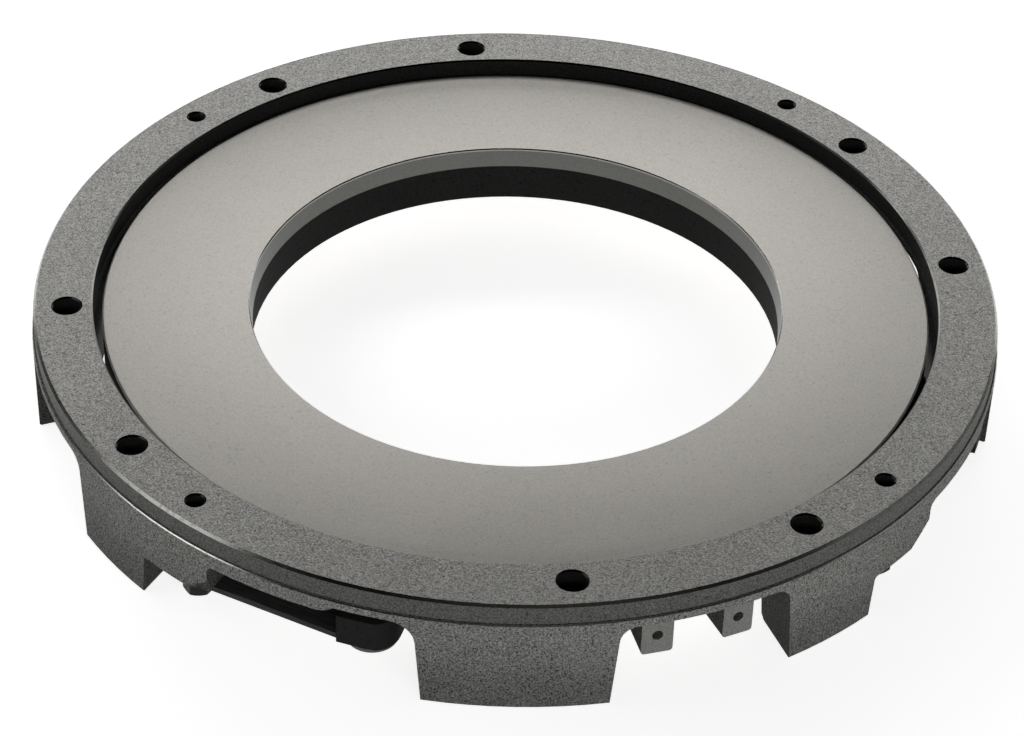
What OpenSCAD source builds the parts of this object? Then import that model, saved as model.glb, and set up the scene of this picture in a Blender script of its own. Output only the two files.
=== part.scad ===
/* [Ring housing] */
// Diameter of the machined flange
flange_d = 468.4; // [400:0.2:570]
// Height from the feet to the top of the flange
overall_h = 59.5; // [54:0.5:75]
// Width of the ring from its bore to the flange's edge
ring_w = 28.5; // [26:0.1:35]
// Height of the machined band of the flange
flange_h = 10.5; // [9:0.1:12.5]
// How far the cast skirt stands proud of the flange
skirt_step = 1.2; // [0.8:0.1:3]
// How far the skirt tapers in from its ledge to the feet
skirt_taper = 0.3; // [0:0.1:1.5]
// Depth of the turned groove between flange and skirt
groove_d = 0.4; // [0.2:0.1:1.5]
// Height of the turned groove
groove_h = 0.5; // [0.3:0.1:1.5]
// Chamfer on the flange's outer edge
flange_chamfer = 1.2; // [0.5:0.1:2]
// Chamfer inside the feet
foot_chamfer = 2.5; // [1:0.1:4]

/* [Legs and windows] */
// Angle at which the narrow leg starts
narrow_leg_start = 10.6; // [9.5:0.1:12]
// Angle at which the narrow leg ends
narrow_leg_end = 22.3; // [21.5:0.1:23]
// Angle at which the wide leg starts
wide_leg_start = 58.6; // [57.5:0.1:60]
// Angle at which the wide leg ends
wide_leg_end = 79; // [78:0.1:80.5]
// Draft of the leg's sides
leg_draft = 4.5; // [1:0.1:6]
// Radius of the window's top corners
window_r = 8; // [4:0.5:10]
// Depth of the plain window's top below the flange face
plain_window_depth = 14.9; // [13.5:0.1:17]
// Depth of the strap window's top below the flange face
strap_window_depth = 18.2; // [17:0.1:21]
// Depth of the lug bay's top below the flange face
lug_bay_depth = 14.6; // [13:0.1:16]
// Angle at which the strap window starts, beside the shelf
strap_window_start = 32.8; // [32:0.1:34]
// Radius of the shelf's corner where the strap leaves it
shelf_r = 3; // [1:0.5:6]
// Length of the slanting end of the skirt's lip
lip_slope_l = 13.7; // [10:0.1:16]
// Height of the slanting end of the skirt's lip
lip_slope_h = 9; // [6:0.5:10]
// Angle at which the lug bay starts
lug_bay_start = 48.8; // [47:0.1:50]
// Length of the ramp that leads up into the lug bay
bay_ramp_l = 5; // [2:0.5:8]
// Radius of the bottom of that ramp
bay_ramp_r = 12; // [1:0.5:14]
// Radius of the lug bay's corner beside the wide leg
bay_r = 11.5; // [6:0.5:13]

/* [Bolt holes] */
// Distance of the bolt circle from the flange's edge
bolt_edge = 16.2; // [14.5:0.1:18]
// Angle of each bolt hole from the nearest axis
bolt_angle = 15; // [14:0.5:17]
// Diameter of the bolt holes
bolt_hole_d = 13.5; // [11:0.5:16]
// Chamfer at the mouth of every hole in the flange
hole_chamfer = 0.8; // [0.4:0.1:1.5]

/* [Tabs] */
// Angle of the first tab from the middle of its window
tab_a = -5.8; // [-7.5:0.1:-4]
// Angle of the second tab from the middle of its window
second_tab_a = 3.6; // [2:0.1:7.5]
// Width of a tab
tab_w = 14.7; // [12:0.1:18]
// Depth of a tab's lower edge below the flange face
tab_depth = 33; // [30:0.1:36]
// Radial thickness of a tab
tab_t = 20; // [15:0.5:22]
// Radius of a tab's lower corners
tab_r = 1.8; // [1:0.1:3]
// Diameter of a tab's cross hole
tab_hole_d = 5.1; // [4:0.1:7]
// Depth of a tab's cross hole below the flange face
tab_hole_depth = 22.8; // [21:0.1:25]

/* [Pressure plate] */
// Running gap between the plate and the ring's bore
plate_gap = 4.2; // [3:0.1:6]
// Radial width of the friction face
face_w = 71.3; // [60:0.1:76]
// Thickness of the plate
plate_t = 31; // [26:0.5:32]
// Depth of the friction face below the flange face
recess = 7; // [5.5:0.1:8]
// Depth of the bored band at the mouth of the plate's bore
band_h = 10; // [6:0.5:14]
// How much the bored band narrows from its mouth
band_taper = 1.3; // [0.5:0.1:2]
// Chamfer on the plate's outer edges
plate_chamfer = 0.8; // [0.4:0.1:1.5]

/* [Plate lugs] */
// Angle of the lug's rivet
rivet_a = 51.8; // [51:0.1:52.5]
// How far the lug's face stands in from the flange's edge
lug_inset = 1; // [0.8:0.1:3]
// Margin of the lug outside the strap's end
lug_margin = 2.2; // [1.5:0.1:5]
// Margin of the lug past the strap's end
lug_end = 1.5; // [1:0.1:3]
// Depth of the lug's top below the flange face
lug_top_depth = 20.7; // [20:0.1:23]
// How far the lug reaches towards the screw's side of its rivet
lug_near = 12; // [11:0.1:13.5]
// Radius of the lug's round corner
lug_corner_r = 13; // [8:0.5:13.5]
// Radius where the lug meets the plate
lug_root_r = 5; // [2:0.5:6]

/* [Strap packs] */
// Angle of the strap screw
screw_a = 28; // [27.5:0.1:28.5]
// Thickness of the skirt outside the strap's end
seat_wall = 2.3; // [1.5:0.1:4]
// Depth of the strap seats below the flange face
seat_depth = 36; // [34:0.1:38]
// How far the skirt's lip hangs below the strap seat
shelf_lip = 0.9; // [0.5:0.1:5]
// Leaves in each pack
leaves = 3; // [2:1:5]
// Thickness of a leaf
leaf_t = 1; // [0.7:0.05:1.5]
// Width of a leaf
leaf_w = 23; // [20:0.5:23.5]
// How far a leaf's end arc stands past its half width
leaf_end = 0.4; // [0.2:0.1:1]
// Clearance round the leaf's end in its seat
seat_gap = 0.6; // [0.3:0.1:1]

/* [Fasteners] */
// Thread diameter of the strap screw
screw_d = 10; // [8:0.5:12]
// Core diameter of the tapped hole
tap_d = 8.5; // [6.5:0.1:10]
// Length of thread in the shelf
screw_grip = 22; // [16:1:24]
// Diameter of the screw head's flange
head_flange_d = 19.5; // [17:0.5:21]
// Thickness of the screw head's flange
head_flange_t = 2.5; // [1.5:0.1:3]
// Width across flats of the screw head
head_af = 13; // [11:0.5:17]
// Height of the screw head over its flange
head_h = 7.2; // [4:0.1:9]
// Outer diameter of the screw's washer
washer_d = 20.5; // [18:0.5:22]
// Thickness of the screw's washer
washer_t = 3; // [2:0.5:3]
// Diameter of the rivet
rivet_d = 10; // [8:0.5:11]
// Diameter of the rivet's head
rivet_head_d = 15.5; // [13:0.5:18]
// Height of the rivet's head
rivet_head_h = 4.3; // [3:0.1:6]
// Rounding of the rivet head's rim
rivet_head_r = 1.5; // [0.5:0.1:2.5]
// Outer diameter of the rivet's washer
rivet_washer_d = 23.8; // [19:0.2:24]
// Thickness of the rivet's washer
rivet_washer_t = 2; // [1:0.5:2.5]
// Radial clearance of a fastener in its holes
hole_gap = 0.3; // [0.2:0.05:0.5]
// Radial gap that stands for a thread or a rivet's squeeze
squeeze = 0.05; // [0.02:0.01:0.1]

/* [Hidden] */
$fn = 160;
corner_steps = 6;
past = 1;
packs = 4;
quarter = 90;
flange_r = flange_d / 2;
bore_r = flange_r - ring_w;
skirt_r = flange_r + skirt_step;
foot_r = skirt_r - skirt_taper;
ledge_z = overall_h - flange_h;
ledge_chamfer = 0.45;
mouth_chamfer = 0.5;
bay_edge_r = 1.5;
edge_chamfer = 0.8;
bolt_r = flange_r - bolt_edge;
strap_end_r = leaf_w / 2 + leaf_end;
strap_room_r = strap_end_r + seat_gap;
screw_r = skirt_r - seat_wall - strap_room_r;
lug_face_r = flange_r - lug_inset;
rivet_r = lug_face_r - lug_margin - strap_room_r;
lug_far = strap_room_r + lug_end;
seat_z = overall_h - seat_depth;
shelf_z = seat_z - shelf_lip;
lip_in_r = skirt_r - seat_wall;
plate_r = bore_r - plate_gap;
plate_top = overall_h - recess;
plate_bottom = plate_top - plate_t;
plate_bore_r = plate_r - face_w;
lug_top = overall_h - lug_top_depth;
pack_bottom = seat_z - leaves * leaf_t;
screw_point = screw_r * [cos(screw_a), sin(screw_a)];
rivet_point = rivet_r * [cos(rivet_a), sin(rivet_a)];
strap_l = norm(rivet_point - screw_point);
strap_a = atan2(rivet_point[1] - screw_point[1], rivet_point[0] - screw_point[0]);
window_a = (narrow_leg_end + wide_leg_start) / 2;
window_half_w = flange_r * sin(wide_leg_start - window_a);
shelf_edge_x = flange_r * sin(strap_window_start - window_a);
bay_edge_x = flange_r * sin(lug_bay_start - window_a);
plain_window_a = (wide_leg_end + narrow_leg_start + quarter) / 2;
plain_half_w = flange_r * sin(narrow_leg_start + quarter - plain_window_a);
rivet_sink_h = (rivet_head_d - rivet_d) / 2;
leaf_names = [for (p = [1:packs], k = [1:leaves]) str("strap_", p, "_leaf_", k)];
pack_parts = ["strap_screw_", "screw_washer_", "strap_rivet_", "rivet_washer_"];
fastener_names = [for (part = pack_parts, p = [1:packs]) str(part, p)];

function unit(v) = v / norm(v);
function turned(v, a) = [v[0] * cos(a) - v[1] * sin(a), v[0] * sin(a) + v[1] * cos(a)];

// Arc of radius r that rounds the corner at point q, between its neighbours p and s
function corner(p, q, s, r) =
    r == 0 ? [q] :
    let (a = unit(p - q), b = unit(s - q), half = acos(a * b) / 2,
         centre = q + unit(a + b) * r / sin(half),
         start = q + a * r / tan(half) - centre,
         sweep = (180 - 2 * half) * sign(cross(start, q + b * r / tan(half) - centre)))
    [for (i = [0:corner_steps]) centre + turned(start, sweep * i / corner_steps)];

// Outline whose corners are rounded by the radii given for them
function rounded(points, radii) =
    let (n = len(points))
    [for (i = [0:n - 1]) each corner(points[(i + n - 1) % n], points[i], points[(i + 1) % n], radii[i])];

// Cuts an outline, seen from outside, straight through the ring's wall along the radius at angle a
module through_wall(a, half_w, outline) {
    start = sqrt(pow(bore_r, 2) - pow(half_w, 2)) - 2 * past;
    rotate([0, 0, a]) translate([start, 0, 0]) rotate([90, 0, 90])
        linear_extrude(skirt_r - start + past) polygon(outline);
}

// Places a strap pack's piece at its screw, with X along the strap
module at_strap(p) {
    rotate([0, 0, (p - 1) * quarter]) translate(screw_point) rotate([0, 0, strap_a]) children();
}

// Section of the ring with its flange, groove, ledge and drafted skirt
module ring_blank() {
    rotate_extrude() polygon([
        [bore_r + foot_chamfer, 0], [foot_r - edge_chamfer, 0], [foot_r, edge_chamfer],
        [skirt_r, ledge_z - ledge_chamfer], [skirt_r - ledge_chamfer, ledge_z],
        [flange_r - groove_d, ledge_z], [flange_r - groove_d, ledge_z + groove_h],
        [flange_r, ledge_z + groove_h], [flange_r, overall_h - flange_chamfer],
        [flange_r - flange_chamfer, overall_h], [bore_r + edge_chamfer, overall_h],
        [bore_r, overall_h - edge_chamfer], [bore_r, foot_chamfer]]);
}

// Window without a strap: a drafted arch between a wide and a narrow leg
function plain_window() =
    let (top = overall_h - plain_window_depth, foot = plain_half_w + past * tan(leg_draft),
         crown = plain_half_w - top * tan(leg_draft))
    rounded([[-foot, -past], [foot, -past], [crown, top], [-crown, top]], [0, 0, window_r, window_r]);

// Strap window: low under the shelf, higher over the strap and highest over the lug
function strap_window() =
    let (top = overall_h - strap_window_depth, bay = overall_h - lug_bay_depth, slope = tan(leg_draft))
    rounded([[-window_half_w - past * slope, -past], [window_half_w + past * slope, -past],
             [window_half_w - bay * slope, bay], [bay_edge_x, bay], [bay_edge_x - bay_ramp_l, top],
             [shelf_edge_x, top], [shelf_edge_x, shelf_z], [-window_half_w + shelf_z * slope, shelf_z]],
            [0, 0, bay_r, bay_edge_r, bay_ramp_r, window_r / 2, shelf_r, window_r / 4]);

// Seat milled up into the shelf, open below and towards the plate
function shelf_seat() =
    let (slope = tan(leg_draft), left = -window_half_w + seat_z * slope)
    [[left, -past], [shelf_edge_x + past, -past], [shelf_edge_x + past, seat_z], [left, seat_z]];

// Slanting end of the skirt's lip, which bares the shelf behind it
function lip_slope() =
    let (rise = lip_slope_h / lip_slope_l)
    [[shelf_edge_x - lip_slope_l - past, shelf_z - past * rise], [shelf_edge_x + past, shelf_z - past * rise],
     [shelf_edge_x + past, shelf_z + lip_slope_h + past * rise]];

// Drilled tab that hangs in a plain window at angle a
module tab(a) {
    low = overall_h - tab_depth;
    high = overall_h - plain_window_depth + past;
    outline = rounded([[-tab_w / 2, low], [tab_w / 2, low], [tab_w / 2, high], [-tab_w / 2, high]],
                      [tab_r, tab_r, 0, 0]);
    rotate([0, 0, a]) translate([flange_r - tab_t, 0, 0]) rotate([90, 0, 90])
        linear_extrude(tab_t) polygon(outline);
}

// Round hole down through the flange with a chamfered mouth
module flange_hole(d, bottom) {
    translate([0, 0, bottom]) cylinder(d = d, h = overall_h - bottom + past);
    translate([0, 0, overall_h - hole_chamfer])
        cylinder(d1 = d, d2 = d + 2 * (hole_chamfer + past), h = hole_chamfer + past);
}

module ring_housing() {
    color("dimgray") difference() {
        union() {
            difference() {
                ring_blank();
                for (q = [0:packs - 1]) {
                    through_wall(plain_window_a + q * quarter, plain_half_w, plain_window());
                    through_wall(window_a + q * quarter, window_half_w, strap_window());
                    intersection() {
                        through_wall(window_a + q * quarter, window_half_w, shelf_seat());
                        translate([0, 0, -past]) cylinder(r = lip_in_r, h = overall_h);
                    }
                    difference() {
                        through_wall(window_a + q * quarter, window_half_w, lip_slope());
                        translate([0, 0, -past]) cylinder(r = lip_in_r, h = overall_h);
                    }
                }
            }
            for (side = [plain_window_a, plain_window_a + 2 * quarter], a = [tab_a, second_tab_a]) tab(side + a);
        }
        for (q = [0:packs - 1]) {
            for (a = [-bolt_angle, bolt_angle])
                rotate([0, 0, q * quarter + a]) translate([bolt_r, 0, 0]) flange_hole(bolt_hole_d, -past);
            rotate([0, 0, q * quarter + screw_a]) translate([screw_r, 0, 0]) {
                flange_hole(tap_d, seat_z);
                translate([0, 0, seat_z - past])
                    cylinder(d = screw_d + 2 * squeeze, h = screw_grip + 2 * past);
            }
        }
        for (side = [plain_window_a, plain_window_a + 2 * quarter], a = [tab_a, second_tab_a])
            rotate([0, 0, side + a]) translate([bore_r, 0, overall_h - tab_hole_depth])
                rotate([0, 90, 0]) cylinder(d = tab_hole_d, h = ring_w + skirt_step + past);
    }
}

// Section of the annular plate, with the bored band at the mouth of its bore
module plate_blank() {
    rotate_extrude() polygon([
        [plate_bore_r + edge_chamfer, plate_bottom], [plate_r - plate_chamfer, plate_bottom],
        [plate_r, plate_bottom + plate_chamfer], [plate_r, plate_top - plate_chamfer],
        [plate_r - plate_chamfer, plate_top], [plate_bore_r + mouth_chamfer, plate_top],
        [plate_bore_r, plate_top - mouth_chamfer],
        [plate_bore_r - band_taper, plate_top - band_h],
        [plate_bore_r, plate_top - band_h - band_taper], [plate_bore_r, plate_bottom + edge_chamfer]]);
}

// Lug seen from above, its rivet on the X axis: one square end and one round end
module lug_outline() {
    inner = plate_r - ring_w / 2;
    corner_x = flange_r - lug_corner_r;
    corner_y = lug_far - lug_corner_r;
    intersection() {
        circle(r = lug_face_r);
        union() {
            translate([inner, -lug_near]) square([flange_r - inner, lug_near + corner_y]);
            translate([inner, -lug_near]) square([corner_x - inner, lug_near + lug_far]);
            translate([corner_x, corner_y]) circle(r = lug_corner_r);
            difference() {
                translate([inner, -lug_near - lug_root_r])
                    square([plate_r - inner + lug_root_r, lug_near + lug_far + 2 * lug_root_r]);
                for (y = [-lug_near - lug_root_r, lug_far + lug_root_r])
                    translate([plate_r + lug_root_r, y]) circle(r = lug_root_r);
            }
        }
    }
}

// Room for a strap pack below the plate's rim, which only packs wider than the gap beside them need
module strap_room(p) {
    at_strap(p) translate([0, -leaf_w / 2 - seat_gap, plate_bottom - past])
        cube([strap_l, leaf_w + 2 * seat_gap, seat_z + seat_gap - plate_bottom + past]);
}

module pressure_plate() {
    color("darkgray") difference() {
        union() {
            difference() {
                plate_blank();
                for (p = [1:packs]) strap_room(p);
            }
            for (q = [0:packs - 1]) rotate([0, 0, q * quarter + rivet_a])
                translate([0, 0, seat_z]) linear_extrude(lug_top - seat_z) lug_outline();
        }
        for (q = [0:packs - 1]) rotate([0, 0, q * quarter + rivet_a]) translate([rivet_r, 0, seat_z - past]) {
            cylinder(d = rivet_d + 2 * squeeze, h = lug_top - seat_z + 2 * past);
            translate([0, 0, lug_top - seat_z + past - rivet_sink_h]) cylinder(
                d1 = rivet_d + 2 * squeeze, d2 = rivet_d + 2 * squeeze + 2 * (rivet_sink_h + past),
                h = rivet_sink_h + past);
        }
    }
}

// One spring leaf, counted down from the seat
module leaf(p, k) {
    color("slategray") at_strap(p) translate([0, 0, seat_z - k * leaf_t]) linear_extrude(leaf_t)
        difference() {
            intersection() {
                translate([-strap_end_r, -leaf_w / 2]) square([strap_l + 2 * strap_end_r, leaf_w]);
                union() {
                    circle(r = strap_end_r);
                    translate([0, -leaf_w]) square([strap_l, 2 * leaf_w]);
                    translate([strap_l, 0]) circle(r = strap_end_r);
                }
            }
            circle(d = screw_d + 2 * hole_gap);
            translate([strap_l, 0]) circle(d = rivet_d + 2 * hole_gap);
        }
}

// Flanged hexagon screw that enters the shelf from below
module strap_screw(p) {
    top = pack_bottom - washer_t;
    color("black") at_strap(p) {
        translate([0, 0, top - head_flange_t]) cylinder(d = screw_d, h = seat_z + screw_grip - top + head_flange_t);
        translate([0, 0, top - head_flange_t]) cylinder(d = head_flange_d, h = head_flange_t);
        translate([0, 0, top - head_flange_t - head_h])
            cylinder(d = head_af / cos(30), h = head_h, $fn = 6);
    }
}

module ring_washer(d, t, hole) {
    translate([0, 0, pack_bottom - t]) linear_extrude(t) difference() {
        circle(d = d);
        circle(d = hole + 2 * hole_gap);
    }
}

module screw_washer(p) {
    color("dimgray") at_strap(p) ring_washer(washer_d, washer_t, screw_d);
}

module rivet_washer(p) {
    color("dimgray") at_strap(p) translate([strap_l, 0, 0])
        ring_washer(rivet_washer_d, rivet_washer_t, rivet_d);
}

// Rivet with a pan head below the strap and a countersunk head flush in the lug
module strap_rivet(p) {
    top = pack_bottom - rivet_washer_t;
    low = top - rivet_head_h;
    head_r = rivet_head_d / 2;
    rim = [head_r - rivet_head_r, low + rivet_head_r];
    color("dimgray") at_strap(p) translate([strap_l, 0, 0]) rotate_extrude() polygon(concat(
        [[0, lug_top], [head_r, lug_top], [rivet_d / 2, lug_top - rivet_sink_h], [rivet_d / 2, top],
         [head_r, top]],
        [for (a = [0:15:90]) rim + rivet_head_r * [cos(a), -sin(a)]],
        [[0, low]]));
}

ring_housing();
pressure_plate();
for (p = [1:packs]) {
    for (k = [1:leaves]) leaf(p, k);
    strap_screw(p);
    screw_washer(p);
    strap_rivet(p);
    rivet_washer(p);
}
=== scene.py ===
import math

import bpy
import numpy as np
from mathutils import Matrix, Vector


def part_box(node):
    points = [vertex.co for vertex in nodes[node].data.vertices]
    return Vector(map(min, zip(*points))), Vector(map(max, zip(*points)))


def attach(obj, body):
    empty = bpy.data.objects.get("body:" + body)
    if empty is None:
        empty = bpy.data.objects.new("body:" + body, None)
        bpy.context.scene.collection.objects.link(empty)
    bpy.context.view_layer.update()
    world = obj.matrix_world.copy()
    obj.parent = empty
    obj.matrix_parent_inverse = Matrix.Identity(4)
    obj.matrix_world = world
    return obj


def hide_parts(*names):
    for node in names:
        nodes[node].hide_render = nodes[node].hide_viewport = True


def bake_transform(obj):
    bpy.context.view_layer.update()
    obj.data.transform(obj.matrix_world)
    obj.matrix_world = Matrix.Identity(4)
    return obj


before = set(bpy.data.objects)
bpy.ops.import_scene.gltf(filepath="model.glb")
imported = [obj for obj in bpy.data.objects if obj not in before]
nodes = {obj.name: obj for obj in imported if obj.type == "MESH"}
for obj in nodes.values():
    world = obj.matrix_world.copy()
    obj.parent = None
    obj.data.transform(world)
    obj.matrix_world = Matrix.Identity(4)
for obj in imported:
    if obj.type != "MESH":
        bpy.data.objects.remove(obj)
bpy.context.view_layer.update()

# Camera
# Lens, tilt, distance and roll fit a pinhole camera to the ring's circles and bolt holes.
# It looks along the picture's own axes, which lie 22.5 degrees back from the row's about the clutch's axis.
RING_R = 0.233
RING_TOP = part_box("ring_housing")[1].z
PICTURE_TURN = math.radians(-22.5)
LENS_MM = 112.54
CAMERA_TILT = math.radians(37.647)
CAMERA_ROLL = math.radians(1.843)
CAMERA_DISTANCE = 6.4861 * RING_R
AIM = np.array([-0.00383, -0.28428, 0]) * RING_R


def turn_z(angle):
    """Rotation matrix about Z."""
    c, s = math.cos(angle), math.sin(angle)
    return np.array([[c, -s, 0], [s, c, 0], [0, 0, 1]])


back = np.array([0, -math.cos(CAMERA_TILT), math.sin(CAMERA_TILT)])
level = np.array([1, 0, 0])
rise = np.array([0, math.sin(CAMERA_TILT), math.cos(CAMERA_TILT)])
right = math.cos(CAMERA_ROLL) * level + math.sin(CAMERA_ROLL) * rise
up = math.cos(CAMERA_ROLL) * rise - math.sin(CAMERA_ROLL) * level
pose = np.eye(4)
pose[:3, :3] = turn_z(PICTURE_TURN) @ np.array([right, up, back]).T
pose[:3, 3] = turn_z(PICTURE_TURN) @ (AIM + back * CAMERA_DISTANCE) + (0, 0, RING_TOP)
camera = bpy.data.objects.new("camera", bpy.data.cameras.new("camera"))
camera.data.lens = LENS_MM
camera.data.sensor_width = 36
camera.data.clip_start, camera.data.clip_end = 0.05, 50
camera.matrix_world = pose.T.tolist()
bpy.context.scene.collection.objects.link(camera)
bpy.context.scene.camera = camera
bpy.context.scene.view_settings.view_transform = "Standard"

# Ring housing
# One iron casting: a flange on legs, with drilled tabs hanging in two of its windows.
# The flange's face, its side, the bore and the tabs' faces are machined; the rest is shot blasted and oiled.
# The heights and radii part its finishes and its painted shade; FADE is how softly they change, and HAIR keeps one
# off the next face.
LEDGE_Z = 0.049
GROOVE_TOP_Z = 0.0495
FLANGE_MID_Z = 0.051
SEAT_Z = 0.0235
BORE_EDGE_R = 0.2069
OUTER_ZONE_R = 0.2317
GROOVE_IN_R = 0.2332
SKIRT_IN_R = 0.2335
TAB_OUT_R = 0.2347
CHAMFER = 0.0008
FADE = 0.0002
HAIR = 0.0001
LEAN_45 = 0.707
FLANGE_TOP_TONE = 0.300
FLANGE_SIDE_TONE = 0.20
BORE_SHADE_TONE = 0.02
CAST_TONE = 0.38
TAB_FACE_TONE = 0.45
CHAMFER_TONE = 0.9
FLANGE_EDGE_SHARE = 0.5
BORE_EDGE_SHADE_SHARE = 0.2
HOLE_EDGE_SHADE_SHARE = 0.04
GROOVE_SHADE_SHARE = 0.25
INWARD_SHADE_SHARE = 0.4
IRON_BLUE = 0.945
CAST_ROUGH = 0.8
SIDE_ROUGH = 0.6
TOP_ROUGH = 0.37
CHAMFER_ROUGH = 0.2


def add(tree, kind, links=None, **settings):
    """Adds a node with its settings, and links or sets its inputs by name or number."""
    made = tree.nodes.new(kind)
    for key, value in settings.items():
        setattr(made, key, value)
    for key, value in (links or {}).items():
        if isinstance(value, bpy.types.NodeSocket):
            tree.links.new(value, made.inputs[key])
        else:
            made.inputs[key].default_value = value
    return made


def maths(tree, operation, *values):
    """Result of one sum on sockets or numbers."""
    return add(tree, "ShaderNodeMath", dict(enumerate(values)), operation=operation).outputs[0]


def total(tree, first, *rest):
    """Sum of sockets or numbers."""
    for value in rest:
        first = maths(tree, "ADD", first, value)
    return first


def product(tree, first, *rest):
    """Product of sockets or numbers."""
    for value in rest:
        first = maths(tree, "MULTIPLY", first, value)
    return first


def ramp(tree, value, low, high, start=0.0, end=1.0):
    """Smooth change from start to end while value goes from low to high."""
    made = add(tree, "ShaderNodeMapRange", {"Value": value, "From Min": low, "From Max": high,
                                            "To Min": start, "To Max": end}, interpolation_type="SMOOTHSTEP")
    return made.outputs["Result"]


def past(tree, value, edge, fade=FADE):
    """0 before an edge and 1 past it, with a soft change over fade metres; a negative fade swaps the sides."""
    return ramp(tree, value, edge, edge + fade)


def mixed(tree, share, first, second):
    """First value or colour where share is 0, second where it is 1.
    A Mix node has its values at inputs 2 and 3 and output 0, and its colours at 6 and 7 and output 2."""
    colours = "RGBA" in [getattr(value, "type", "") for value in (first, second)]
    kind, first_input, output = ("RGBA", 6, 2) if colours else ("FLOAT", 2, 0)
    made = add(tree, "ShaderNodeMix", {0: share, first_input: first, first_input + 1: second}, data_type=kind)
    return made.outputs[output]


def tinted(tree, tone, red=1.0, blue=1.0):
    """Colour of a tone, with its red and its blue at the given shares of its green."""
    return add(tree, "ShaderNodeCombineColor", {0: product(tree, tone, red), 1: tone,
                                                2: product(tree, tone, blue)}).outputs[0]


def radius_of(tree, x, y):
    """Distance from the clutch's axis."""
    return maths(tree, "SQRT", total(tree, product(tree, x, x), product(tree, y, y)))


def outward(tree, x, y, radius, normal_x, normal_y):
    """1 on faces that look away from the clutch's axis, 0 on those that look at it, along it or across it:
    the part of the normal that points along the radius."""
    along = total(tree, product(tree, x, normal_x), product(tree, y, normal_y))
    return ramp(tree, maths(tree, "DIVIDE", along, radius), 0.3, 0.6)


def new_group(name, inputs, outputs):
    """Shader group with float or vector inputs, given as name and default, and float outputs."""
    group = bpy.data.node_groups.new(name, "ShaderNodeTree")
    for label, default in inputs:
        kind = "NodeSocketFloat" if isinstance(default, float) else "NodeSocketVector"
        group.interface.new_socket(label, in_out="INPUT", socket_type=kind).default_value = default
    for label in outputs:
        group.interface.new_socket(label, in_out="OUTPUT", socket_type="NodeSocketFloat")
    return group, group.nodes.new("NodeGroupInput").outputs, group.nodes.new("NodeGroupOutput").inputs


def grit_group():
    """Grit of a blasted or cast skin: fine noise, sparse dark pits and broad clouds.
    Tone is a factor about 1, and Height rises with the fine noise and falls in the pits."""
    tree, into, out = new_group("iron_grit", [("Position", (0.0, 0.0, 0.0)), ("Grain size", 0.0012),
                                              ("Grain depth", 0.3), ("Pit depth", 0.3), ("Cloud depth", 0.15)],
                                ["Tone", "Height"])
    scale = maths(tree, "DIVIDE", 1.0, into["Grain size"])
    fine = add(tree, "ShaderNodeTexNoise", {"Vector": into["Position"], "Scale": scale, "Detail": 3.0,
                                            "Roughness": 0.7}).outputs["Fac"]
    cells = add(tree, "ShaderNodeTexNoise", {"Vector": into["Position"], "Scale": product(tree, scale, 0.45),
                                             "Detail": 2.0, "Roughness": 0.5}).outputs["Fac"]
    pits = ramp(tree, cells, 0.60, 0.72)
    clouds = add(tree, "ShaderNodeTexNoise", {"Vector": into["Position"], "Scale": 24.0, "Detail": 5.0,
                                              "Roughness": 0.62}).outputs["Fac"]
    grain_part = product(tree, maths(tree, "SUBTRACT", fine, 0.5), into["Grain depth"])
    cloud_part = product(tree, maths(tree, "SUBTRACT", clouds, 0.5), into["Cloud depth"])
    pit_part = product(tree, pits, into["Pit depth"], -1.0)
    tree.links.new(total(tree, 1.0, grain_part, cloud_part, pit_part), out["Tone"])
    tree.links.new(maths(tree, "SUBTRACT", fine, product(tree, pits, 0.6)), out["Height"])
    return tree


def chamfer_group():
    """Mask and tone of the bright turned chamfers: faces that lean about 45 degrees, dulled by small nicks."""
    tree, into, out = new_group("bright_chamfer", [("Position", (0.0, 0.0, 0.0)), ("Lean", 0.7)], ["Mask", "Tone"])
    off = maths(tree, "ABSOLUTE", maths(tree, "SUBTRACT", into["Lean"], LEAN_45))
    tree.links.new(ramp(tree, off, 0.16, 0.10), out["Mask"])
    nicks = add(tree, "ShaderNodeTexNoise", {"Vector": into["Position"], "Scale": 500.0,
                                             "Detail": 2.0}).outputs["Fac"]
    tree.links.new(ramp(tree, nicks, 0.3, 0.5, start=CHAMFER_TONE * 0.7, end=CHAMFER_TONE), out["Tone"])
    return tree


iron_grit = grit_group()
bright_chamfer = chamfer_group()


def new_metal(name):
    """New material, with its tree, its shader, and the object's position and normal."""
    material = bpy.data.materials.new(name)
    material.use_nodes = True
    tree = material.node_tree
    place = tree.nodes.new("ShaderNodeTexCoord").outputs
    return material, tree, tree.nodes["Principled BSDF"], place["Object"], place["Normal"]


def grit(tree, position, size, grain, pit, cloud):
    """Outputs of the grit group at one grain size in metres and three depths."""
    return add(tree, "ShaderNodeGroup", {"Position": position, "Grain size": size, "Grain depth": grain,
                                         "Pit depth": pit, "Cloud depth": cloud}, node_tree=iron_grit).outputs


def turned_edges(tree, position, lean):
    """Outputs of the chamfer group."""
    return add(tree, "ShaderNodeGroup", {"Position": position, "Lean": lean}, node_tree=bright_chamfer).outputs


def bumped(tree, shader, height, strength, distance):
    """Feeds a height through a Bump node to the shader's normal."""
    made = add(tree, "ShaderNodeBump", {"Strength": strength, "Distance": distance, "Height": height})
    tree.links.new(made.outputs[0], shader.inputs["Normal"])


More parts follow.
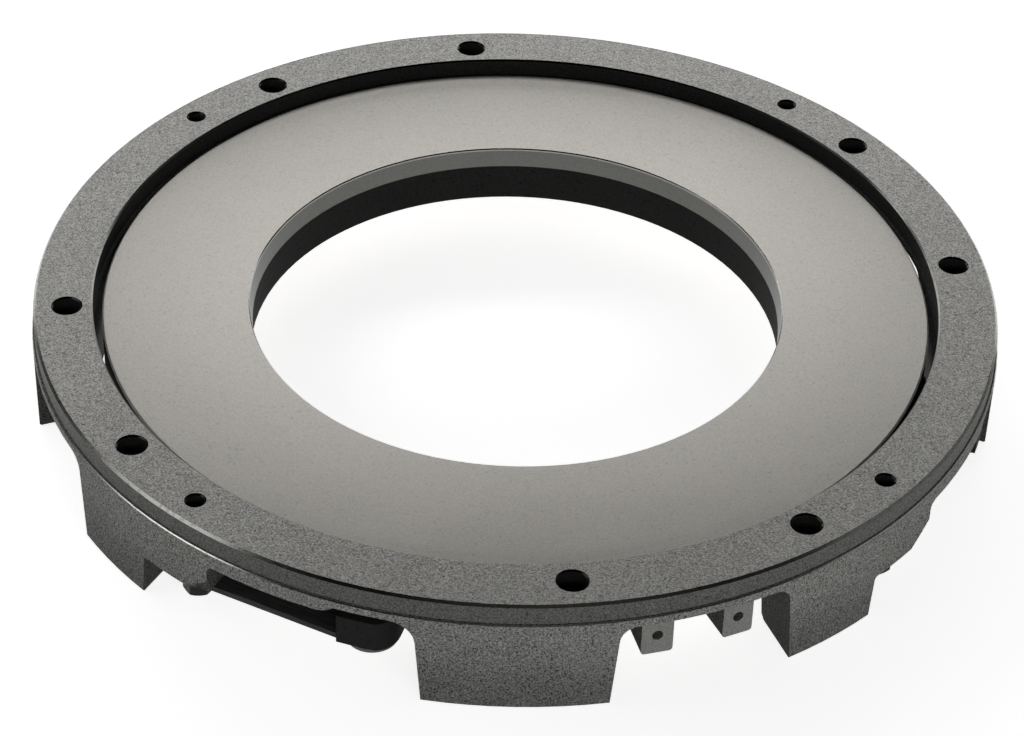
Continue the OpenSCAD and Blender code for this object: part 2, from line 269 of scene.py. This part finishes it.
def ring_iron():
    """Machined flange face, flange side and bore; speckled casting on the skirt, legs and tabs.
    Height, radius and the way a face looks choose its finish and its painted shade, and turned chamfers shine over
    all of them."""
    material, tree, shader, position, normal = new_metal("machined_and_cast_iron")
    x, y, z = add(tree, "ShaderNodeSeparateXYZ", {0: position}).outputs
    normal_x, normal_y, lean = add(tree, "ShaderNodeSeparateXYZ", {0: normal}).outputs
    radius = radius_of(tree, x, y)
    looks_out = outward(tree, x, y, radius, normal_x, normal_y)
    flange = past(tree, z, LEDGE_Z + HAIR)
    outer = past(tree, radius, OUTER_ZONE_R, 0.0005)
    top = ramp(tree, lean, 0.8, 0.95)

    face = grit(tree, position, size=0.0008, grain=4.0, pit=0.3, cloud=0.2)
    # Painted shade: the groove between the flange's side and the skirt keeps only a quarter of its tone.
    groove = product(tree, maths(tree, "SUBTRACT", flange, past(tree, z, GROOVE_TOP_Z, HAIR)),
                     past(tree, radius, GROOVE_IN_R, 0.0005))
    # Painted shade: the bore's wall and the holes' walls in the flange are given a near black tone.
    wall = mixed(tree, outer, BORE_SHADE_TONE, FLANGE_SIDE_TONE)
    machined = product(tree, mixed(tree, top, wall, FLANGE_TOP_TONE), face["Tone"],
                       mixed(tree, groove, 1.0, GROOVE_SHADE_SHARE))

    skin = grit(tree, position, size=0.0008, grain=5.5, pit=0.4, cloud=0.45)
    skirt = maths(tree, "MAXIMUM", past(tree, radius, SKIRT_IN_R - 2 * FADE, 2 * FADE),
                  past(tree, z, SEAT_Z - FADE, -FADE))
    # Painted shade: cast faces that don't look outward from the skirt, such as the legs' sides and the windows'
    # walls, keep only a share of their tone.
    shown = ramp(tree, maths(tree, "MINIMUM", looks_out, skirt), 0.0, 1.0, start=INWARD_SHADE_SHARE, end=1.0)
    # Painted shade: the casting darkens towards the feet, where less light reaches it.
    painted_low_shade = ramp(tree, z, 0.0, 0.045, start=0.64, end=1.05)
    cast = product(tree, painted_low_shade, CAST_TONE, skin["Tone"], shown)
    milled = product(tree, ramp(tree, lean, 0.05, 0.02), past(tree, radius, TAB_OUT_R, -FADE),
                     past(tree, radius, SKIRT_IN_R, 0.0003), looks_out)
    tab_face = product(tree, mixed(tree, 0.3, 1.0, skin["Tone"]), TAB_FACE_TONE)
    cast = mixed(tree, milled, cast, tab_face)

    turned = turned_edges(tree, position, lean)
    chamfer = product(tree, turned["Mask"], past(tree, z, LEDGE_Z - CHAMFER + HAIR))
    # Painted shade: the chamfer at the bore's edge is dimmed, and those round the holes are dimmed almost to
    # black.
    inner_edge = ramp(tree, radius, BORE_EDGE_R, BORE_EDGE_R + 2 * FADE,
                      start=BORE_EDGE_SHADE_SHARE, end=HOLE_EDGE_SHADE_SHARE)
    outer_edge = ramp(tree, z, FLANGE_MID_Z, FLANGE_MID_Z + 0.001, start=1.0, end=FLANGE_EDGE_SHARE)
    bright = product(tree, turned["Tone"], mixed(tree, outer, inner_edge, outer_edge))

    tone = mixed(tree, chamfer, mixed(tree, flange, cast, machined), bright)
    colour = tinted(tree, tone, red=mixed(tree, top, 0.99, 1.015), blue=IRON_BLUE)
    metallic = mixed(tree, chamfer, product(tree, flange, top, 0.5), 1.0)
    roughness = mixed(tree, flange, CAST_ROUGH, mixed(tree, top, SIDE_ROUGH, TOP_ROUGH))
    height = product(tree, mixed(tree, flange, skin["Height"], face["Height"]), mixed(tree, chamfer, 1.0, 0.1))
    tree.links.new(colour, shader.inputs["Base Color"])
    tree.links.new(metallic, shader.inputs["Metallic"])
    tree.links.new(mixed(tree, chamfer, roughness, CHAMFER_ROUGH), shader.inputs["Roughness"])
    shader.inputs["Specular IOR Level"].default_value = 0.15
    bumped(tree, shader, height, strength=0.5, distance=0.0003)
    return material


nodes["ring_housing"].data.materials.clear()
nodes["ring_housing"].data.materials.append(ring_iron())

# Pressure plate
# A thick grey iron casting between the two clutch discs, with a lug for each strap pack.
# Both friction faces are ground and the bore's mouth is bored; the rim, lugs and lower bore stay as cast.
PLATE_TOP = 0.0525
PLATE_BOTTOM = 0.0215
PLATE_R = 0.2015
PLATE_BORE_R = 0.1302
BAND_H = 0.010
GROUND_TONE = 0.46
BAND_TONE = 0.195
RIM_LIFT_TONE = 1.0
PLATE_CAST_AND_SHADE_TONE = 0.024
PLATE_MOUTH_SHARE = 0.35
PLATE_BLUE = 0.925
PLATE_CAST_ROUGH = 0.75
PLATE_CHAMFER_ROUGH = 0.22


def plate_iron():
    """Ground faces with turning rings and specks, a clean bored band, and dark casting elsewhere, near black as
    painted shade.
    The rings are noise along the radius alone, and show most near the rim."""
    material, tree, shader, position, normal = new_metal("ground_and_cast_iron")
    x, y, z = add(tree, "ShaderNodeSeparateXYZ", {0: position}).outputs
    radius = radius_of(tree, x, y)
    lean = add(tree, "ShaderNodeSeparateXYZ", {0: normal}).outputs[2]
    turned = turned_edges(tree, position, lean)
    bevel = product(tree, turned["Mask"], past(tree, z, PLATE_TOP - 1.5 * CHAMFER))
    mouth = product(tree, bevel, past(tree, radius, PLATE_BORE_R + 0.004, -0.001))
    rim = product(tree, bevel, past(tree, radius, PLATE_R - 0.002, 0.001))
    over = product(tree, past(tree, z, PLATE_TOP - 1.5 * CHAMFER, HAIR),
                   past(tree, radius, PLATE_R + FADE, -FADE))
    under = past(tree, z, PLATE_BOTTOM + 0.001, -0.0009)
    ground = maths(tree, "MAXIMUM", over, under)
    band = product(tree, past(tree, radius, PLATE_BORE_R + 0.001, -0.0006),
                   past(tree, z, PLATE_TOP - BAND_H - HAIR))
    smooth = maths(tree, "MAXIMUM", ground, band)

    along = add(tree, "ShaderNodeCombineXYZ", {0: radius}).outputs[0]
    rings = add(tree, "ShaderNodeTexNoise", {"Vector": along, "Scale": 1100.0, "Detail": 3.0}).outputs["Fac"]
    haze = add(tree, "ShaderNodeTexNoise", {"Vector": position, "Scale": 12.0, "Detail": 5.0,
                                            "Roughness": 0.6}).outputs["Fac"]
    face = grit(tree, position, size=0.0008, grain=0.7, pit=0.15, cloud=0.08)
    skin = grit(tree, position, size=0.0014, grain=1.4, pit=0.5, cloud=0.5)
    ring_depth = ramp(tree, radius, 0.165, 0.199, start=0.05, end=0.16)
    tone = total(tree, face["Tone"], product(tree, maths(tree, "SUBTRACT", rings, 0.5), ring_depth),
                 product(tree, maths(tree, "SUBTRACT", haze, 0.5), 0.16))
    fall = ramp(tree, radius, PLATE_BORE_R, PLATE_R, start=1.06, end=0.88)
    # Painted light: the outer chamfer of the face gets a near white tone, so it shows light where few lamps reach
    # it.
    place_tone = mixed(tree, rim, mixed(tree, ground, BAND_TONE, GROUND_TONE), RIM_LIFT_TONE)

    warm = tinted(tree, product(tree, tone, fall, place_tone), red=mixed(tree, ground, 0.98, 1.04),
                  blue=PLATE_BLUE)
    # Dark cast skin of the rim, lugs and lower bore, taken near black: partly its own dark colour, partly painted
    # shade in the bore and behind the ring.
    dark = tinted(tree, product(tree, skin["Tone"], PLATE_CAST_AND_SHADE_TONE), blue=0.97)
    bright = tinted(tree, product(tree, turned["Tone"], PLATE_MOUTH_SHARE))
    polish = product(tree, smooth, mixed(tree, rim, 0.5, 0.15))
    roughness = mixed(tree, smooth, PLATE_CAST_ROUGH, total(tree, 0.29, product(tree, haze, 0.12)))
    height = mixed(tree, smooth, skin["Height"], product(tree, rings, 0.25))
    tree.links.new(mixed(tree, mouth, mixed(tree, smooth, dark, warm), bright), shader.inputs["Base Color"])
    tree.links.new(mixed(tree, mouth, polish, 1.0), shader.inputs["Metallic"])
    tree.links.new(mixed(tree, mouth, roughness, PLATE_CHAMFER_ROUGH), shader.inputs["Roughness"])
    shader.inputs["Specular IOR Level"].default_value = 0.12
    bumped(tree, shader, height, strength=0.35, distance=0.0003)
    return material


nodes["pressure_plate"].data.materials.clear()
nodes["pressure_plate"].data.materials.append(plate_iron())

# Strap packs
# Four packs of flat spring leaves carry the plate inside the ring and let it slide along the axis.
# Each leaf is blanked from rolled spring steel and blued; its ends are drilled for the screw and the rivet.
PACKS = 4
LEAVES = 3
LEAF_HALF_W = 0.0115
LEAF_END_R = 0.0119
LEAF_HOLE_R = 0.0053
LEAF_EDGE_R = 0.00018
SIDE_POINTS = 22
ARC_POINTS = 25
MIDDLE_POINTS = 9
FACE_ROWS = 13
ROW_CROWDING = 1.35
SHARP_ANGLE = math.radians(40)
WELDS_PER_M = 1e7
SCREW_AT = (0.2206, math.radians(28))
RIVET_AT = (0.2185, math.radians(51.8))
STEEL_TONE = 0.10
EDGE_TONE = 0.03


def flat_point(polar):
    """Point in the plane of the feet from a radius and an angle."""
    return np.array([polar[0] * math.cos(polar[1]), polar[0] * math.sin(polar[1]), 0])


strap = flat_point(RIVET_AT) - flat_point(SCREW_AT)
STRAP_L = float(np.linalg.norm(strap))
STRAP_A = math.atan2(strap[1], strap[0])


def at_strap(points, pack, rivet_end=False):
    """Moves points from a strap pack's own place, X along the strap from the screw, to the row's frame."""
    shift = np.array([STRAP_L if rivet_end else 0, 0, 0])
    turned = (points + shift) @ turn_z(STRAP_A).T + flat_point(SCREW_AT)
    return turned @ turn_z(pack * math.pi / 2).T


def skin_faces(count, rows, closed):
    """Quads of a grid of rows with count points each; closed joins the last point to the first."""
    j = np.arange(count if closed else count - 1)
    i = np.arange(rows - 1)[:, None]
    k = (j + 1) % count
    return np.stack([i * count + j, i * count + k, (i + 1) * count + k, (i + 1) * count + j], -1).reshape(-1, 4)


def welded(points, faces):
    """Merges points that fall in the same tenth of a micrometre, and renumbers the faces."""
    kept, back_to = np.unique(np.round(points * WELDS_PER_M).astype(np.int64), axis=0, return_inverse=True)
    return kept / WELDS_PER_M, back_to.reshape(-1)[faces]


def new_piece(name, points, faces, material):
    """Mesh object at the origin, shaded smooth except where faces meet at more than the sharp angle."""
    mesh = bpy.data.meshes.new(name)
    mesh.from_pydata(points.tolist(), [], [list(dict.fromkeys(f)) for f in faces.tolist()])
    mesh.validate()
    mesh.polygons.foreach_set("use_smooth", np.ones(len(mesh.polygons), bool))
    mesh.set_sharp_from_angle(angle=SHARP_ANGLE)
    mesh.materials.append(material)
    piece = bpy.data.objects.new(name, mesh)
    bpy.context.scene.collection.objects.link(piece)
    return piece


def half_leaf(thick):
    """Half of a leaf, round the hole at the origin and up to the strap's middle line, its top at height 0.
    Rays leave the hole and end on the middle line, a straight side or the end's arc; along them the face is
    a straight blend from hole to outline. Quarter rounds of radius LEAF_EDGE_R turn the faces into the walls."""
    r = LEAF_EDGE_R
    half, wide, end_r = STRAP_L / 2, LEAF_HALF_W - r, LEAF_END_R - r
    corner = math.pi - math.asin(wide / end_r)
    side_x = np.linspace(half, end_r * math.cos(corner), SIDE_POINTS)
    arc = np.linspace(corner, 2 * np.pi - corner, ARC_POINTS + 2)[1:-1]
    around = np.stack([np.cos(arc), np.sin(arc)], 1)
    middle_y = np.linspace(-wide, wide, MIDDLE_POINTS + 2)[1:-1]
    upper = np.stack([side_x, np.full(SIDE_POINTS, wide)], 1)
    lower = np.stack([side_x[::-1], np.full(SIDE_POINTS, -wide)], 1)
    middle = np.stack([np.full(MIDDLE_POINTS, half), middle_y], 1)
    outline = np.concatenate([upper, end_r * around, lower, middle])
    out = np.concatenate([np.tile([0, 1], (SIDE_POINTS, 1)), around, np.tile([0, -1], (SIDE_POINTS, 1))])

    ray = outline / np.linalg.norm(outline, axis=1, keepdims=True)
    hole = ray * (LEAF_HOLE_R + r)
    share = np.linspace(0, 1, FACE_ROWS)[:, None, None] ** ROW_CROWDING
    face = hole + (outline - hole) * share
    bend = np.radians([0, 30, 60, 90])
    drop = np.concatenate([r - r * np.cos(bend), thick - r + r * np.cos(bend[::-1])])
    push = r * np.sin(np.concatenate([bend, bend[::-1]]))
    wall = outline[:len(out)] + out * push[:, None, None]
    bore = hole - ray * push[:, None, None]

    def deep(grid, z):
        """Adds heights to a grid of flat points."""
        return np.concatenate([grid, np.broadcast_to(z, grid.shape[:2])[..., None]], -1).reshape(-1, 3)

    rays, rows = len(outline), len(drop)
    flat_faces, bore_faces = skin_faces(rays, FACE_ROWS, True), skin_faces(rays, rows, True)
    return [(deep(face, 0.0), flat_faces), (deep(face, -thick), flat_faces[:, ::-1]),
            (deep(wall, -drop[:, None]), skin_faces(len(out), rows, False)),
            (deep(bore, -drop[:, None]), bore_faces[:, ::-1])]


def whole_leaf(thick):
    """Both halves of a leaf: the second is the first reflected in the strap's middle line, its faces turned."""
    points, faces, count = [], [], 0
    for mirror in (False, True):
        for p, f in half_leaf(thick):
            if mirror:
                p, f = p * [-1, 1, 1] + [STRAP_L, 0, 0], f[:, ::-1]
            points.append(p)
            faces.append(f + count)
            count += len(p)
    return welded(np.concatenate(points), np.concatenate(faces))


def spring_steel(pack):
    """Blued rolled steel, with rolling lines along the strap, oil clouds and dark blanked edges."""
    material, tree, shader, position, normal = new_metal(f"blued_spring_steel_{pack + 1}")
    laid = add(tree, "ShaderNodeMapping", {"Vector": position, "Rotation": (0, 0, -STRAP_A - pack * math.pi / 2)},
               vector_type="POINT").outputs[0]
    drawn = add(tree, "ShaderNodeVectorMath", {0: laid, 1: (1.0, 30.0, 30.0)}, operation="MULTIPLY").outputs[0]
    lines = add(tree, "ShaderNodeTexNoise", {"Vector": drawn, "Scale": 60.0, "Detail": 4.0,
                                             "Roughness": 0.6}).outputs["Fac"]
    skin = grit(tree, position, size=0.0010, grain=0.25, pit=0.15, cloud=0.5)
    lean = maths(tree, "ABSOLUTE", add(tree, "ShaderNodeSeparateXYZ", {0: normal}).outputs[2])
    tone = product(tree, skin["Tone"], ramp(tree, lines, 0.3, 0.7, start=0.5, end=1.6),
                   ramp(tree, lean, 0.3, 0.6, start=EDGE_TONE, end=STEEL_TONE))
    tree.links.new(tinted(tree, tone, red=0.98, blue=1.03), shader.inputs["Base Color"])
    shader.inputs["Metallic"].default_value = 0.5
    shader.inputs["Specular IOR Level"].default_value = 0.2
    tree.links.new(ramp(tree, lines, 0.2, 0.8, start=0.36, end=0.52), shader.inputs["Roughness"])
    bumped(tree, shader, lines, strength=0.2, distance=0.0001)
    return material


for pack in range(PACKS):
    steel = spring_steel(pack)
    for k in range(1, LEAVES + 1):
        low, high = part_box(f"strap_{pack + 1}_leaf_{k}")
        points, faces = whole_leaf(high.z - low.z)
        points = at_strap(points + [0, 0, high.z], pack)
        leaf = new_piece(f"spring_leaf_{pack + 1}_{k}", points, faces, steel)
        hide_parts(f"strap_{pack + 1}_leaf_{k}")
        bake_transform(leaf)

# Strap screws
# Flanged hexagon screws of black oxide steel, turned up from below through the pack into the ring's shelf.
# Each head is forged with a thin flange, and the flat of the hexagon is chamfered at 30 degrees.
SCREW_SHANK_R = 0.005
SCREW_TIP = 0.0008
HEX_HALF_AF = 0.0065
HEX_FACE_R = HEX_HALF_AF * 0.95
HEX_CONE = math.radians(30)
DISH_R = (HEX_FACE_R * 0.8, HEX_FACE_R * 0.7)
DISH_DEPTH = 0.0003
HEAD_FLANGE_R = 0.00975
HEAD_FLANGE_T = 0.0025
HEAD_H = 0.0072
HEAD_SINK = 0.0002
CORNER_R = 0.0002
CORNER_STEPS = 3
ROUND_STEPS = 96


def lathe(profile):
    """Surface of revolution: each profile point (radius, height) is carried round the Z axis."""
    r, z = np.array(profile).T
    a = np.arange(ROUND_STEPS) * 2 * np.pi / ROUND_STEPS
    heights = np.broadcast_to(z[:, None], (len(r), ROUND_STEPS))
    points = np.stack([r[:, None] * np.cos(a), r[:, None] * np.sin(a), heights], -1).reshape(-1, 3)
    return welded(points, skin_faces(ROUND_STEPS, len(r), True))


def softened(corners, r=CORNER_R):
    """Profile whose inner corners are cut by arcs of radius r, as (radius, height) points in order.
    Each arc is the quadratic blend of the points r before and r after its corner, or less on a short side."""
    corners = [np.array(p, float) for p in corners]
    out = [corners[0]]
    for before, at, after in zip(corners, corners[1:], corners[2:]):
        a = at + (before - at) * min(r / np.linalg.norm(before - at), 0.45)
        b = at + (after - at) * min(r / np.linalg.norm(after - at), 0.45)
        for t in np.linspace(0, 1, CORNER_STEPS + 1):
            out.append((1 - t) ** 2 * a + 2 * t * (1 - t) * at + t * t * b)
    return out + [corners[-1]]


def hexagon_head(top):
    """Screw head below height top: rays at angle a meet the hexagon at HEX_HALF_AF / cos(a from its flat).
    The chamfer cone cuts each ray's wall where it is wider than the cone's rim, then a shallow dish."""
    a = (np.arange(ROUND_STEPS) + 0.5) * 2 * np.pi / ROUND_STEPS
    from_flat = (a + np.pi / 6) % (np.pi / 3) - np.pi / 6
    flat = HEX_HALF_AF / np.cos(from_flat)
    low = top - HEAD_H
    cut = low + (flat - HEX_FACE_R) * math.tan(HEX_CONE)
    profile = [(flat, top), (flat, cut), (HEX_FACE_R, low), (DISH_R[0], low), (DISH_R[1], low + DISH_DEPTH),
               (0, low + DISH_DEPTH)]
    radii, heights = (np.array([np.broadcast_to(v, a.shape) for v in column]) for column in zip(*profile))
    points = np.stack([radii * np.cos(a), radii * np.sin(a), heights], -1).reshape(-1, 3)
    return welded(points, skin_faces(ROUND_STEPS, len(profile), True)[:, ::-1])


def oxide_steel(name, tone, rough):
    """Black oxide over forged steel: fine grit and oily clouds, rougher where the grit stands high."""
    material, tree, shader, position, _ = new_metal(name)
    skin = grit(tree, position, size=0.0007, grain=0.35, pit=0.25, cloud=0.5)
    colour = tinted(tree, product(tree, skin["Tone"], tone), red=0.98, blue=1.02)
    tree.links.new(colour, shader.inputs["Base Color"])
    shader.inputs["Metallic"].default_value = 0.3
    shader.inputs["Specular IOR Level"].default_value = 0.2
    tree.links.new(ramp(tree, skin["Height"], 0.2, 0.8, rough - 0.06, rough + 0.06), shader.inputs["Roughness"])
    bumped(tree, shader, skin["Height"], strength=0.2, distance=0.0001)
    return material


screw_black = oxide_steel("black_oxide", tone=0.018, rough=0.5)
for pack in range(PACKS):
    low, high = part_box(f"strap_screw_{pack + 1}")
    flange_low = low.z + HEAD_H
    flange_high = flange_low + HEAD_FLANGE_T
    # The flange slopes up to a thin rounded rim, then runs in to the shank, whose tip is chamfered.
    shank = softened([(0, flange_low), (HEX_HALF_AF * 1.2, flange_low),
                      (HEAD_FLANGE_R - 0.0004, flange_low + 0.0009), (HEAD_FLANGE_R, flange_high - 0.0006),
                      (HEAD_FLANGE_R - 0.0003, flange_high), (SCREW_SHANK_R, flange_high),
                      (SCREW_SHANK_R, high.z - SCREW_TIP), (SCREW_SHANK_R - SCREW_TIP, high.z), (0, high.z)])
    body_points, body_faces = lathe(shank)
    head_points, head_faces = hexagon_head(flange_low + HEAD_SINK)
    points = np.concatenate([body_points, head_points])
    faces = np.concatenate([body_faces, head_faces + len(body_points)])
    screw = new_piece(f"flanged_screw_{pack + 1}", at_strap(points, pack), faces, screw_black)
    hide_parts(f"strap_screw_{pack + 1}")
    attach(screw, "housing")

# Rivets and washers
# Rivets of soft steel squeeze each pack under its lug: a pan head below, a countersunk head flush above.
# Plain turned washers spread the load of the screw and of the rivet on the lowest leaf.
RIVET_R = 0.005
RIVET_HEAD_R = 0.00775
RIVET_HEAD_H = 0.0043
RIVET_RIM_R = 0.0015
HOLE_GAP = 0.0003
WASHER_CORNER_R = 0.0003

rivet_grey = oxide_steel("forged_steel", tone=0.09, rough=0.5)
washer_grey = oxide_steel("oiled_steel", tone=0.14, rough=0.4)


def washer_ring(node, hole_r):
    """Washer of the CAD node's own size: a rectangle with soft corners carried round the hole."""
    low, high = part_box(node)
    outer = (high.x - low.x) / 2
    middle = (low.z + high.z) / 2
    return lathe(softened([(hole_r, middle), (hole_r, low.z), (outer, low.z), (outer, high.z), (hole_r, high.z),
                           (hole_r, middle)], WASHER_CORNER_R))


for pack in range(PACKS):
    for stem, hole_r, rivet_end, body in (("screw_washer", SCREW_SHANK_R + HOLE_GAP, False, "housing"),
                                          ("rivet_washer", RIVET_R + HOLE_GAP, True, "plate")):
        node = f"{stem}_{pack + 1}"
        points, faces = washer_ring(node, hole_r)
        washer = new_piece(f"turned_{node}", at_strap(points, pack, rivet_end), faces, washer_grey)
        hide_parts(node)
        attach(washer, body)
    low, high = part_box(f"strap_rivet_{pack + 1}")
    under = low.z + RIVET_HEAD_H
    bend = np.radians(np.arange(0, 91, 11.25))[::-1]
    rim = [(RIVET_HEAD_R - RIVET_RIM_R * (1 - math.cos(b)), low.z + RIVET_RIM_R * (1 - math.sin(b))) for b in bend]
    points, faces = lathe([(0, low.z)] + rim + [(RIVET_HEAD_R, under), (RIVET_R, under),
                           (RIVET_R, high.z - (RIVET_HEAD_R - RIVET_R)), (RIVET_HEAD_R, high.z), (0, high.z)])
    rivet = new_piece(f"pan_head_rivet_{pack + 1}", at_strap(points, pack, True), faces, rivet_grey)
    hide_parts(f"strap_rivet_{pack + 1}")
    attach(rivet, "plate")

# Floor and light
# A white table in a dim room, with two long strips of light behind, one before and soft boxes at the sides.
# The table shows white to the camera and in reflections, and keeps the object's shadow.
TABLE_HALF = 8
TABLE_TONE = 0.8
TABLE_GLOW = 0.80
ROOM_GLOW = 0.03

mesh = bpy.data.meshes.new("table")
mesh.from_pydata([(TABLE_HALF * i, TABLE_HALF * j, 0) for i, j in ((-1, -1), (1, -1), (1, 1), (-1, 1))], [],
                 [(0, 1, 2, 3)])
table = bpy.data.objects.new("table", mesh)
bpy.context.scene.collection.objects.link(table)
paper = bpy.data.materials.new("white_paper")
paper.use_nodes = True
tree = paper.node_tree
tree.nodes.remove(tree.nodes["Principled BSDF"])
ray = tree.nodes.new("ShaderNodeLightPath").outputs
seen = maths(tree, "MAXIMUM", ray["Is Camera Ray"],
             maths(tree, "MAXIMUM", ray["Is Glossy Ray"], ray["Is Transmission Ray"]))
plain = add(tree, "ShaderNodeBsdfDiffuse", {"Color": (TABLE_TONE, TABLE_TONE, TABLE_TONE, 1)})
glow = add(tree, "ShaderNodeEmission", {"Color": (1, 1, 1, 1), "Strength": TABLE_GLOW})
both = add(tree, "ShaderNodeAddShader", {0: plain.outputs[0], 1: glow.outputs[0]})
shown = add(tree, "ShaderNodeMixShader", {0: seen, 1: plain.outputs[0], 2: both.outputs[0]})
tree.links.new(shown.outputs[0], tree.nodes["Material Output"].inputs["Surface"])
mesh.materials.append(paper)

room = bpy.data.worlds.new("room")
bpy.context.scene.world = room
room.use_nodes = True
tree = room.node_tree
ray = tree.nodes.new("ShaderNodeLightPath").outputs
seen = maths(tree, "MAXIMUM", ray["Is Camera Ray"], ray["Is Transmission Ray"])
sight = tree.nodes.new("ShaderNodeTexCoord").outputs["Generated"]
before = turn_z(PICTURE_TURN) @ back
facing = add(tree, "ShaderNodeVectorMath", {0: sight, 1: tuple(before)}, operation="DOT_PRODUCT").outputs["Value"]
faint = ramp(tree, facing, 0.45, 0.85, start=ROOM_GLOW, end=0.0)
tree.links.new(mixed(tree, seen, faint, 1.0), tree.nodes["Background"].inputs["Strength"])
tree.nodes["Background"].inputs["Color"].default_value = (1, 1, 1, 1)


def soft_box(name, azimuth, elevation, distance, width, height, radiance):
    """Lamp that faces the ring from a direction in the picture, 0 right and 90 away; its watts are
    pi times area times radiance."""
    light = bpy.data.lights.new(name, "AREA")
    light.shape, light.size, light.size_y = "RECTANGLE", width, height
    light.energy = math.pi * width * height * radiance
    lamp = bpy.data.objects.new(name, light)
    a, e = math.radians(azimuth) + PICTURE_TURN, math.radians(elevation)
    away = Vector((math.cos(e) * math.cos(a), math.cos(e) * math.sin(a), math.sin(e)))
    lamp.location = away * distance
    lamp.rotation_euler = away.to_track_quat("Z", "Y").to_euler()
    bpy.context.scene.collection.objects.link(lamp)


soft_box("low_strip_behind", azimuth=92, elevation=12, distance=1.3, width=2.6, height=0.50, radiance=1.9)
soft_box("high_strip_behind", azimuth=100, elevation=38, distance=1.3, width=2.2, height=0.22, radiance=3.6)
soft_box("key_left", azimuth=187, elevation=34, distance=0.8, width=0.66, height=0.34, radiance=1.0)
soft_box("low_strip_before", azimuth=279, elevation=24, distance=1.8, width=1.6, height=0.3, radiance=4.1)
soft_box("fill_right", azimuth=340, elevation=8, distance=1.5, width=1.3, height=0.4, radiance=0.8)
soft_box("glow_right", azimuth=8, elevation=22, distance=1.5, width=1.3, height=0.8, radiance=0.13)
